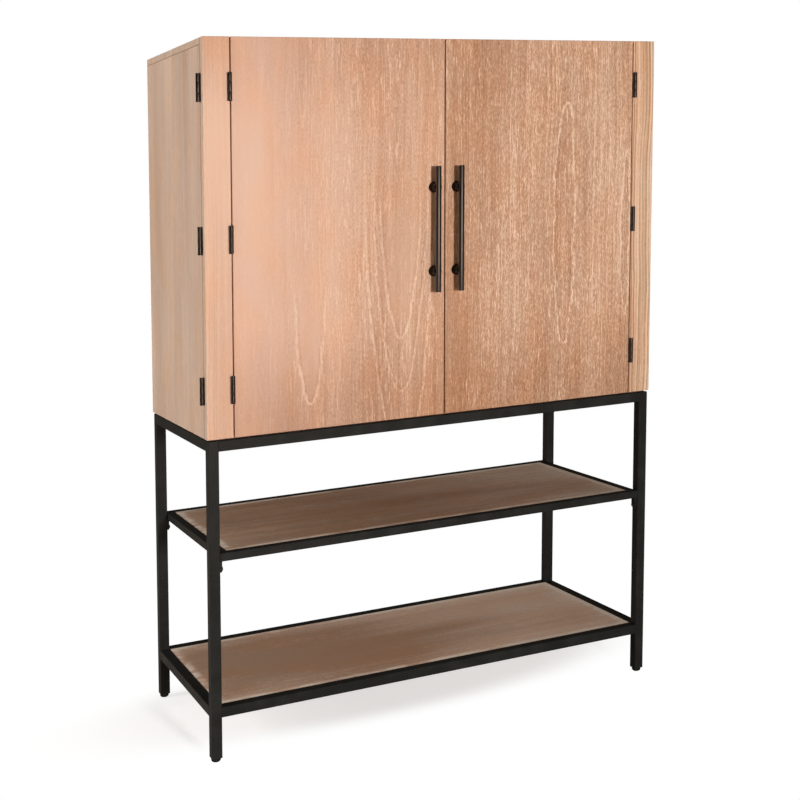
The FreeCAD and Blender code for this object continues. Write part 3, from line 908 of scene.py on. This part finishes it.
@dataclass
class Stand:
    """The black steel stand: legs, rails, lugs and plates, and the glides under its legs."""

    glide_radius: float = 11.5
    sole_radius: float = 6.5
    round_height: float = 6.0
    rows: tuple[str, str] = ("front", "back")
    steel: CoatedMetal = CoatedMetal(
        "black_steel_coat", (31, 32, 31), (43, 44, 43),
        roughness=0.46, pebble=900.0, depth=0.00004, gloss=0.15)
    rubber: CoatedMetal = CoatedMetal(
        "black_glide", (20, 20, 20), (30, 30, 29),
        roughness=0.60, pebble=700.0, depth=0.00005, gloss=0.3)

    def build(self) -> None:
        """Dresses the steel and makes the round glides."""
        coat = self.steel.material()
        for row in self.rows:
            dress(coat, *[f"leg_{row}_{side}" for side in SIDES])
        for level in ("top", "middle", "bottom"):
            dress(coat, *[f"{level}_rail_{end}" for end in (*self.rows, *SIDES)])
        dress(coat, "shelf_lugs", "corner_plates")
        glide = self.rubber.material()
        for row in self.rows:
            for side in SIDES:
                self._glide(f"{row}_{side}", glide)

    def _glide(self, place: str, finish: Material) -> None:
        """A turned glide with a rounded foot, under one leg."""
        _, middle, _ = box_of(f"foot_{place}")
        height = float(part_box(f"leg_{place}")[0][2]) / MM
        widening = self.glide_radius - self.sole_radius
        foot = rounded(self.sole_radius, widening, self.round_height, FOOT_POINTS)
        shell = turned(np.concatenate([foot, [(self.glide_radius, height)]]), POST_STEPS)
        shell = shell.moved((*middle[:2], 0.0))
        make_piece(f"glide_{place}", [shell], finish, "cabinet", (f"foot_{place}",))


@dataclass
class Handles:
    """A bar on two turned posts for each door."""

    bar_round: float = 1.0
    foot_radius: float = 13.3
    foot_rim: float = 3.5
    foot_bevel: float = 0.6
    neck_radius: float = 10.0
    neck_height: float = 17.0
    nose_bevel: float = 1.2
    post_length: float = 27.0
    coat: CoatedMetal = CoatedMetal(
        "satin_black", (7, 5, 3), (10, 7, 5),
        roughness=0.34, pebble=1400.0, depth=0.000005, gloss=1.0)
    post_coat: CoatedMetal = CoatedMetal(
        "dull_black", (6, 5, 4), (9, 8, 7),
        roughness=0.36, pebble=1400.0, depth=0.00001, gloss=0.1)

    def build(self) -> None:
        """Makes both handles."""
        bar = ("bar", self._bar, self.coat.material())
        posts = ("posts", self._posts, self.post_coat.material())
        for side in SIDES:
            for kind, shape, finish in (bar, posts):
                node = f"handle_{kind}_{side}"
                make_piece(f"{kind}_{side}", shape(node), finish, f"door_{side}", (node,))

    def _bar(self, node: str) -> list[Shell]:
        """A round bar with softened ends."""
        low, middle, high = box_of(node)
        radius = (high[0] - low[0]) / 2 / MM
        length = (high[2] - low[2]) / MM
        bar = turned(softened(radius, self.bar_round, 0.0, length), BAR_STEPS)
        return [bar.moved((*middle[:2], low[2]))]

    def _posts(self, node: str) -> list[Shell]:
        """Two posts, each a disc that sweeps in to a neck behind the bar."""
        low, middle, high = box_of(node)
        sweep = np.linspace(0, 1, SWEEP_POINTS)
        slimming = (self.neck_radius - self.foot_radius) * np.sin(sweep * np.pi / 2)
        height = self.foot_rim + (self.neck_height - self.foot_rim) * sweep
        curve = np.stack([self.foot_radius + slimming, height], axis=1)
        rim = [(self.foot_radius - self.foot_bevel, 0.0), (self.foot_radius, self.foot_bevel)]
        nose = [(self.neck_radius, self.post_length - self.nose_bevel),
                (self.neck_radius - self.nose_bevel, self.post_length)]
        post = turned(np.concatenate([rim, curve, nose]), POST_STEPS).aimed(Vector((0, -1, 0)))
        reach = self.foot_radius * MM
        levels = (low[2] + reach, high[2] - reach)
        return [post.moved((middle[0], high[1], level)) for level in levels]


@dataclass
class Hinges:
    """Butt hinges between sides, stiles and doors, with their pins and screws.

    pin_ends has shares of the pin's radius and heights from its end, screw_place is a share of the
    leaf's width, and screw_recess names the six-sided rows of screw_profile.
    """

    height: float = 64.0
    barrel: float = 4.97
    barrel_round: float = 0.5
    bore: float = 2.05
    end_knuckle: float = 20.0
    knuckle_play: float = 0.3
    leaf_far: float = 4.85
    leaf_thickness: float = 1.6
    leaf_spread: float = 3.8
    leaf_start: float = 5.55
    leaf_width: float = 17.0
    leaf_corner: float = 1.5
    leaf_bevel: float = 0.2
    tab_lap: float = 1.0
    tab_corner: float = 0.3
    inner_reach: float = 3.4
    pin_radius: float = 2.0
    pin_ends: tuple[Span, ...] = ((0.5, 0.0), (0.85, 0.12), (1.0, 0.4))
    screw_rows: tuple[float, ...] = (-22.0, 0.0, 22.0)
    screw_place: float = 0.55
    screw_profile: tuple[Span, ...] = ((1.0, -1.0), (3.0, -0.1), (3.1, 0.05), (1.5, 0.12),
                                       (1.3, 0.05), (1.2, -0.6), (0.3, -0.7))
    screw_recess: tuple[int, ...] = (3, 4, 5)
    coat: CoatedMetal = CoatedMetal(
        "dark_bronze", (13, 7, 4), (28, 17, 11),
        roughness=0.36, pebble=1200.0, depth=0.00001, gloss=0.6)
    bright: CoatedMetal = CoatedMetal(
        "dark_pin", (32, 22, 15), (58, 45, 36),
        roughness=0.38, pebble=1500.0, depth=0.00001, gloss=0.25)

    def build(self) -> None:
        """Makes the leaves, pins and screws of all twelve hinges."""
        leaf_finish = self.coat.material()
        pin_finish = self.bright.material()
        outer, inner, pin = self._outer_leaf(), self._inner_leaf(), [self._pin()]
        for kind, made, finish in (("leaves", outer, leaf_finish), ("pins", pin, pin_finish)):
            shells = self._on_side(made)
            self._set(f"side_hinge_{kind}", [*shells, *self._other(shells)], finish, "cabinet")
        stile_leaves = [*self._on_side(inner), *self._on_front(inner)]
        door_leaves = self._on_front(outer)
        door_pins = self._on_front(pin)
        for side, hand in zip(SIDES, (list, self._other)):
            stile, door = f"stile_{side}", f"door_{side}"
            self._set(f"stile_hinge_leaves_{side}", hand(stile_leaves), leaf_finish, stile)
            self._set(f"door_hinge_leaves_{side}", hand(door_leaves), leaf_finish, door)
            self._set(f"door_hinge_pins_{side}", hand(door_pins), pin_finish, door)

    def _set(self, node: str, shells: list[Shell], finish: Material, body: str) -> None:
        """Shows a set of hinge pieces in place of its node."""
        make_piece(f"{node}_finished", shells, finish, body, (node,))

    def _other(self, shells: list[Shell]) -> list[Shell]:
        """The same pieces on the right-hand side."""
        return [shell.mirrored() for shell in shells]

    def _levels(self, node: str) -> list[float]:
        """Middle heights of the three hinges on a line, from the box of its pins."""
        low, _, high = box_of(node)
        half = self.height / 2 * MM
        ends = (low[2] + half, high[2] - half)
        return [ends[0], sum(ends) / 2, ends[1]]

    def _on_front(self, shells: list[Shell]) -> list[Shell]:
        """Three copies on the axis between the left stile and its door."""
        _, middle, _ = box_of("door_hinge_pins_left")
        return [shell.moved((*middle[:2], level))
                for level in self._levels("door_hinge_pins_left") for shell in shells]

    def _on_side(self, shells: list[Shell]) -> list[Shell]:
        """Three copies on the axis between the left side and its stile."""
        _, middle, _ = box_of("side_hinge_pins")
        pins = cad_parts["side_hinge_pins"].data
        across = np.array([vertex.co.x for vertex in pins.vertices])
        left = across[across < 0]
        axis = np.array([(left.min() + left.max()) / 2, middle[1], 0.0])
        return [shell.swapped().moved(axis + (0, 0, level))
                for level in self._levels("side_hinge_pins") for shell in shells]

    def _leaf(self, near: float, facing: float, stretches: list[Span], reach: float) -> list[Shell]:
        """A leaf about the Z axis: its plate, rolled knuckles and screws.

        Args:
            near: the plate's inner face in X.
            facing: the face that the screws show in.
            stretches: the (low, high) parts of the barrel that belong to the leaf.
            reach: how far in towards the axis the tabs run.

        Returns:
            The surfaces of the leaf.
        """
        half = self.height / 2
        x = (near, near + self.leaf_thickness)
        y = (self.leaf_start, self.leaf_start + self.leaf_width)
        tab_y = (reach, self.leaf_start + self.tab_lap)
        shells = [plate(x, y, (-half, half), self.leaf_corner, self.leaf_bevel)]
        for low, high in stretches:
            shells.append(plate(x, tab_y, (low, high), self.tab_corner, self.leaf_bevel))
            profile = softened(self.barrel, self.barrel_round, low, high)
            shells.append(collar(self.bore, profile))
        out = 1.0 if facing > near else -1.0
        head = turned(self.screw_profile, PIN_STEPS, self.screw_recess).aimed(Vector((out, 0, 0)))
        across = self.leaf_start + self.leaf_width * self.screw_place
        seats = [np.array([facing, across, row]) * MM for row in self.screw_rows]
        return [*shells, *[head.moved(seat) for seat in seats]]

    def _outer_leaf(self) -> list[Shell]:
        """The leaf with the two end knuckles, which holds the pin."""
        half = self.height / 2
        ends = [(-half, -half + self.end_knuckle), (half - self.end_knuckle, half)]
        near = self.leaf_far - self.leaf_thickness
        return self._leaf(near, near, ends, 0.0)

    def _inner_leaf(self) -> list[Shell]:
        """The leaf with the middle knuckle, which turns on the pin."""
        half = self.height / 2 - self.end_knuckle - self.knuckle_play
        near = self.leaf_far - self.leaf_spread
        return self._leaf(near, near + self.leaf_thickness, [(-half, half)], self.inner_reach)

    def _pin(self) -> Shell:
        """A pin with slightly domed ends."""
        half = self.height / 2
        lower = np.array(self.pin_ends) * (self.pin_radius, 1) + (0, -half)
        return turned(np.concatenate([lower, lower[::-1] * (1, -1)]), PIN_STEPS)


@dataclass
class Fixings:
    """Screws, bolts, shelf pins and catches, seen when the doors are open or from below."""

    zinc: CoatedMetal = CoatedMetal(
        "zinc_plate", (168, 166, 160), (190, 188, 182), roughness=0.34,
        pebble=900.0, depth=0.00002, gloss=0.5, metallic=0.9)
    black: CoatedMetal = CoatedMetal(
        "black_screw", (26, 25, 24), (40, 39, 37),
        roughness=0.42, pebble=1200.0, depth=0.00003, gloss=0.5)
    plastic: CoatedMetal = CoatedMetal(
        "catch_plastic", (24, 24, 25), (34, 34, 35),
        roughness=0.48, pebble=1500.0, depth=0.00004, gloss=0.4)

    def build(self) -> None:
        """Dresses the small fixings."""
        dress(self.zinc.material(), "shelf_pins", "handle_screws_left", "handle_screws_right",
              "door_strike_left", "door_strike_right")
        dress(self.black.material(), "lug_screws", "box_bolts")
        dress(self.plastic.material(), "magnetic_catches")


@dataclass(frozen=True)
class Viewpoint:
    """Where the photograph was taken from, fitted to the corners of the box and the stand.

    The picture's level lines lean a little against its uprights, as if it had been squared up
    afterwards. lean is that slant, and the camera's stand carries it.
    """

    place: Triple = (-1.4631, -3.1914, 1.3127)
    yaw: float = 24.416
    pitch: float = -5.185
    lens: float = 60.73
    drop: float = -0.10525
    lean: float = -0.040

    def build(self) -> None:
        """Makes the camera and the stand that it is fixed to."""
        yaw, pitch = math.radians(self.yaw), math.radians(self.pitch)
        level = math.cos(pitch)
        ahead = Vector((math.sin(yaw) * level, math.cos(yaw) * level, math.sin(pitch)))
        right = Vector((math.cos(yaw), -math.sin(yaw), 0))
        up = right.cross(ahead)
        columns = [right + self.lean * up, up, -ahead, Vector(self.place)]
        rows = [[column[row] for column in columns] for row in range(3)]
        data = bpy.data.cameras.new("camera")
        data.lens = self.lens
        data.shift_y = self.drop
        camera = add_object("camera", data)
        camera.parent = add_object("camera_stand", None)
        camera.matrix_parent_inverse = Matrix([*rows, [0, 0, 0, 1]])
        bpy.context.scene.camera = camera


class Reach(Enum):
    """What a lamp does: it only shades surfaces, or only shows in reflections."""

    SHADING = (True, False)
    SHINE = (False, True)


@dataclass(frozen=True)
class Lamp:
    """A soft square lamp, its size in metres and its power in watts."""

    name: str
    place: Triple
    target: Triple
    size: float
    power: float
    reach: Reach
    tint: Triple = (1.0, 1.0, 1.0)

    def build(self) -> None:
        """Makes the lamp."""
        data = bpy.data.lights.new(self.name, "AREA")
        data.shape = "SQUARE"
        data.size = self.size
        data.energy = self.power
        data.color = self.tint
        lamp = add_object(self.name, data)
        lamp.location = self.place
        ray = Vector(self.target) - Vector(self.place)
        lamp.rotation_euler = ray.to_track_quat("-Z", "Y").to_euler()
        lamp.visible_diffuse, lamp.visible_glossy = self.reach.value


@dataclass
class Studio:
    """A white floor under a lamp in front, one at the left, a shining panel and a warm sky.

    Shade shows inside an oval on the floor. bounce is the floor's colour as it lights the object.
    """

    floor_half: float = 9.0
    shadow_half: Span = (0.68, 0.22)
    shadow_middle: Span = (-0.10, 0.08)
    bounce: Rgba = (0.6, 0.54, 0.47, 1.0)
    sky: float = 0.17
    sky_in_gloss: float = 0.06
    sky_tint: Triple = (1.0, 0.80, 0.62)
    lamps: tuple[Lamp, ...] = (
        Lamp("key_lamp", place=(0.0, -5.6, 1.30), target=(0.0, -0.2, 1.2), size=0.6, power=222.0,
             reach=Reach.SHADING),
        Lamp("left_lamp", place=(-4.0, 0.5, 1.6), target=(-0.6, 0.0, 1.1), size=1.6, power=94.0,
             reach=Reach.SHADING),
        Lamp("front_panel", place=(-0.6, -5.2, 1.3), target=(0.0, -0.25, 1.2), size=2.4,
             power=152.0, reach=Reach.SHINE, tint=(1.0, 0.80, 0.68)),
    )

    def build(self) -> None:
        """Makes the floor, the lamps and the sky."""
        bpy.context.scene.view_settings.view_transform = "Standard"
        self._floor()
        for lamp in self.lamps:
            lamp.build()
        self._sky()

    def _floor(self) -> None:
        """A flat floor that keeps soft shadows near the object and runs out to plain white."""
        half = self.floor_half
        corners = [(-half, -half, 0), (half, -half, 0), (half, half, 0), (-half, half, 0)]
        mesh = bpy.data.meshes.new("floor")
        mesh.from_pydata(corners, [], [(0, 1, 2, 3)])
        mesh.materials.append(self._floor_finish())
        floor = add_object("floor", mesh)

    def _floor_finish(self) -> Material:
        """White paper: what the camera sees is mostly its own white, so that shadows stay faint."""
        paint = Paint("white_floor")
        point, axes = paint.place()
        aside, ahead = (paint.math("DIVIDE", paint.math("SUBTRACT", axes[axis], middle), half)
                        for axis, middle, half in zip("XY", self.shadow_middle, self.shadow_half))
        far = paint.ease(paint.length(aside, ahead), Change.SHADOW_END)
        paper = paint.ease(paint.field(point, Noise.PAPER), Change.PAPER)
        share = paint.math("MULTIPLY", paint.ease(far, Change.FLOOR_SHADE), paper)
        glow = paint.node("Emission", {}, WHITE, paint.ease(far, Change.FLOOR_GLOW)).outputs[0]
        tint = paint.node("CombineColor", {}, share, share, share).outputs[0]
        faint = paint.node("BsdfDiffuse", {}, tint).outputs[0]
        seen = paint.node("AddShader", {}, glow, faint).outputs[0]
        plain = paint.node("BsdfDiffuse", {}, self.bounce).outputs[0]
        mixed = paint.node("MixShader", {}, paint.looked_at(), plain, seen).outputs[0]
        paint.plug(paint.tree.nodes["Material Output"].inputs["Surface"], mixed)
        paint.tree.nodes.remove(paint.shader)
        return paint.material

    def _sky(self) -> None:
        """A white surround for the camera that lights the object at a lower level."""
        world = bpy.data.worlds.new("studio")
        bpy.context.scene.world = world
        world.use_nodes = True
        graph = Graph(world.node_tree)
        shading, gloss = ((*(level * share for share in self.sky_tint), 1.0)
                          for level in (self.sky, self.sky_in_gloss))
        glossy = graph.node("LightPath", {}).outputs["Is Glossy Ray"]
        colour = graph.blend(graph.looked_at(), graph.blend(glossy, shading, gloss), WHITE)
        graph.plug(graph.tree.nodes["Background"].inputs["Color"], colour)


def main() -> None:
    """Builds the sub-assemblies in order, then the studio, and logs each as it is done."""
    logging.basicConfig(level=logging.INFO, format="%(message)s")
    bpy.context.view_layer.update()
    for assembly in (Boards(), Stand(), Handles(), Hinges(), Fixings(), Viewpoint(), Studio()):
        assembly.build()
        LOG.info("%s done", type(assembly).__name__)


if __name__ == "__main__":
    main()
